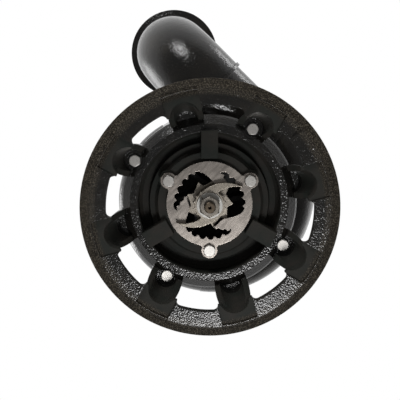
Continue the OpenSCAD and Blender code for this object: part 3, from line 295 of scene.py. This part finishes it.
FINISHES = {
    "black_enamel": black_enamel(),
    "foot_enamel": foot_enamel(),
    "dark_iron": dark_iron(),
    "plate_steel": metal("plate_steel", (0.40, 0.36, 0.325), 0.26, ACROSS_PLATE, streak_mm=2.5, edge_mm=0.6),
    "cutter_steel": metal("cutter_steel", (0.44, 0.395, 0.335), 0.26, streak_mm=1.1, tint=0.3, edge_mm=0.6),
    "bolt_steel": metal("bolt_steel", (0.56, 0.54, 0.51), 0.3, streak_mm=0.8, tint=0.2),
    "screw_steel": metal("screw_steel", (0.5, 0.49, 0.47), 0.33, streak_mm=0.8, tint=0.2),
    "shaft_steel": metal("shaft_steel", (0.12, 0.095, 0.07), 0.28, AROUND_SHAFT, streak_mm=1.0),
    "nut_steel": metal("nut_steel", (0.34, 0.31, 0.27), 0.24, streak_mm=0.9, tint=0.3),
    "bearing_steel": metal("bearing_steel", (0.72, 0.72, 0.7), 0.14, AROUND_SHAFT, tint=0.06),
    "spring_steel": metal("spring_steel", (0.55, 0.54, 0.51), 0.3, streak_mm=0.8, tint=0.2),
    "seal_carbide": metal("seal_carbide", (0.14, 0.14, 0.155), 0.22, tint=0.1),
    "seal_ceramic": moulded("seal_ceramic", (0.8, 0.78, 0.72), 0.3),
    "rubber": moulded("rubber", (0.018, 0.018, 0.018), 0.6),
    "lamination": metal("lamination", (0.36, 0.35, 0.33), 0.42, ALONG_SHEETS, streak_mm=1.0),
    "rotor_aluminium": metal("rotor_aluminium", (0.72, 0.73, 0.75), 0.36, tint=0.15),
    "copper": metal("copper", (0.66, 0.31, 0.15), 0.34, ALONG_WINDING, streak_mm=1.5),
    "cage_brass": metal("cage_brass", (0.62, 0.5, 0.28), 0.3, tint=0.15),
    "capacitor_can": metal("capacitor_can", (0.8, 0.81, 0.82), 0.28, ACROSS_CAN, tint=0.08),
    "terminal_plastic": moulded("terminal_plastic", (0.84, 0.8, 0.7), 0.5),
    "gland_plastic": moulded("gland_plastic", (0.03, 0.03, 0.033), 0.42),
}


def dress(piece, finish):
    piece.data.materials.clear()
    piece.data.materials.append(FINISHES[finish])
    for face in piece.data.polygons:
        face.material_index = 0


for sub_part in frame["record"]["subparts"]:
    dress(nodes[sub_part["node"]], sub_part["material_slot"])
dress(nodes["base_casting"], "foot_enamel")
dress(nodes["cutter_nut"], "nut_steel")


# Floor, light and camera

FLOOR_HALF = 12.0
FLOOR_COLOUR = (0.86, 0.86, 0.85)
FLOOR_ROUGHNESS = 0.75

# Grey of the studio around the pump, from straight below at 0 to straight above at 1
STUDIO_STOPS = ((0.0, 0.15), (0.2, 0.16), (0.4, 0.25), (0.5, 0.75), (0.78, 1.0))

# Softboxes: direction from the pump's foot, then distance and width in metres, then power in watts
SOFTBOXES = {
    "low_key": (BELOW + 0.49 * PICTURE_DOWN + 0.07 * PICTURE_RIGHT, 1.5, 0.3, 6),
    "low_fill": (BELOW + 0.8 * PICTURE_DOWN + 0.2 * PICTURE_RIGHT, 1.5, 0.8, 2),
    "far_key": (Vector((0.86, 0.38, -0.36)), 1.5, 0.5, 8),
    "side_strip": (Vector((0.05, 0.86, 0.5)), 1.5, 0.3, 1.5),
    "high_key": (ABOVE + Vector((0.5, -1.3, 0)), 2.2, 1.2, 14),
    "high_fill": (ABOVE + Vector((-1.2, 0.7, 0)), 2.4, 1.6, 6),
}


def in_scene(name, data):
    thing = bpy.data.objects.new(name, data)
    bpy.context.scene.collection.objects.link(thing)
    return thing


def make_camera():
    camera = in_scene("camera", bpy.data.cameras.new("camera"))
    camera.data.sensor_width = SENSOR_MM
    camera.data.lens = SENSOR_MM * FOCAL_PIXELS / PICTURE_PIXELS
    camera.data.clip_start = NEAREST_SEEN_MM * MM
    forward = CAMERA_AIM.normalized()
    right = (CAMERA_RIGHT - CAMERA_RIGHT.dot(forward) * forward).normalized()
    up = right.cross(forward)
    turn = Matrix((right, up, -forward)).transposed()
    camera.matrix_world = Matrix.Translation(CAMERA_AT) @ turn.to_4x4()
    bpy.context.scene.camera = camera


def make_floor():
    """A pale floor that is seen from above only, so that the pump can be looked at from below."""
    corners = [(x * FLOOR_HALF, y * FLOOR_HALF, 0) for x, y in ((-1, -1), (1, -1), (1, 1), (-1, 1))]
    mesh = bpy.data.meshes.new("floor")
    mesh.from_pydata(corners, [], [range(len(corners))])
    floor = in_scene("floor", mesh)
    s = Shader("floor")
    s.set("Base Color", as_colour(FLOOR_COLOUR))
    s.set("Roughness", FLOOR_ROUGHNESS)
    choose = s.node("MixShader")
    s.link(s.node("NewGeometry").outputs["Backfacing"], choose.inputs["Fac"])
    s.link(s.surface.outputs["BSDF"], choose.inputs[1])
    s.link(s.node("BsdfTransparent").outputs["BSDF"], choose.inputs[2])
    s.link(choose.outputs["Shader"], s.tree.nodes["Material Output"].inputs["Surface"])
    mesh.materials.append(s.material)
    floor.visible_diffuse = False
    floor.visible_glossy = False
    floor.visible_shadow = False
    floor.visible_transmission = False


def make_world():
    """White all around and above, and dimmer below, where a camera stands in for the studio's dark side."""
    world = bpy.data.worlds.new("studio")
    bpy.context.scene.world = world
    world.use_nodes = True
    tree = world.node_tree
    place = tree.nodes.new("ShaderNodeTexCoord")
    parts = tree.nodes.new("ShaderNodeSeparateXYZ")
    rise = tree.nodes.new("ShaderNodeMapRange")
    ramp = tree.nodes.new("ShaderNodeValToRGB")
    rise.inputs["From Min"].default_value = -1
    fill_ramp(ramp.color_ramp, STUDIO_STOPS)
    tree.links.new(place.outputs["Generated"], parts.inputs["Vector"])
    tree.links.new(parts.outputs["Z"], rise.inputs["Value"])
    tree.links.new(rise.outputs["Result"], ramp.inputs["Fac"])
    tree.links.new(ramp.outputs["Color"], tree.nodes["Background"].inputs["Color"])
    tree.nodes["Background"].inputs["Strength"].default_value = 1.0


def make_softbox(name, direction, distance, width, power):
    """A square light that looks at the pump's foot and isn't seen itself."""
    light = bpy.data.lights.new(name, "AREA")
    light.size = width
    light.energy = power
    lamp = in_scene(name, light)
    lamp.location = direction.normalized() * distance
    lamp.rotation_euler = direction.to_track_quat("Z", "Y").to_euler()
    lamp.visible_camera = False


make_camera()
make_floor()
make_world()
for name, values in SOFTBOXES.items():
    make_softbox(name, *values)
bpy.context.scene.view_settings.view_transform = "Standard"
